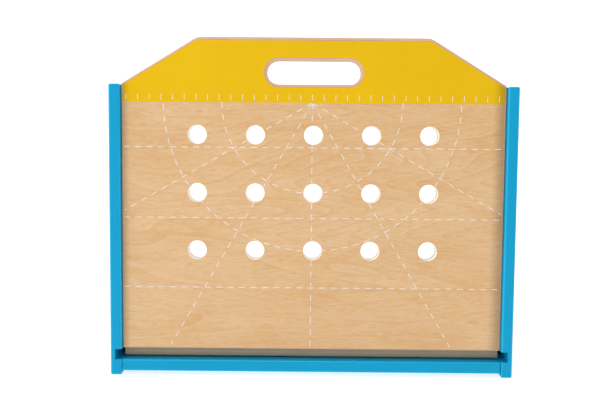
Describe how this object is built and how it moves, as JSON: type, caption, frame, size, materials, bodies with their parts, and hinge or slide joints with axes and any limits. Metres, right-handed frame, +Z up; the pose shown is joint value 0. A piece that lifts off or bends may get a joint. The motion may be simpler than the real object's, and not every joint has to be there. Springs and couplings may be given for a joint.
{
  "type": "toy carrying bench",
  "caption": "Upright birch peg board with hand hold and printed ruler between blue side boards and a bottom board, with a plain board that slides out underneath.",
  "frame": {"origin": "on the floor, under the middle of the bench", "axes": "+X to the right across the bench, -Y towards the user (the printed face), +Z up"},
  "size_m": [0.3516, 0.12, 0.2939],
  "materials": {
    "blue_painted_wood": "satin sky-blue paint over birch plywood",
    "birch_plywood": "clear-varnished birch veneer, yellow paint on the top part, thin white print",
    "plain_plywood": "clear-varnished plywood",
    "screw_steel": "zinc-plated steel",
    "dowel_beech": "raw beech"
  },
  "bodies": {
    "carcass": {"left_side_board": "blue_painted_wood", "right_side_board": "blue_painted_wood", "bottom_board": "blue_painted_wood", "peg_board": "birch_plywood", "left_panel_screws": "screw_steel", "right_panel_screws": "screw_steel", "left_base_screws": "screw_steel", "right_base_screws": "screw_steel", "left_panel_dowels": "dowel_beech", "right_panel_dowels": "dowel_beech", "left_base_dowels": "dowel_beech", "right_base_dowels": "dowel_beech"},
    "slider": {"sliding_board": "plain_plywood"}
  },
  "joints": [
    {"name": "board_slide", "type": "slide", "parent": "carcass", "child": "slider", "axis": [0, -1, 0], "range_m": [0, 0.08]}
  ]
}
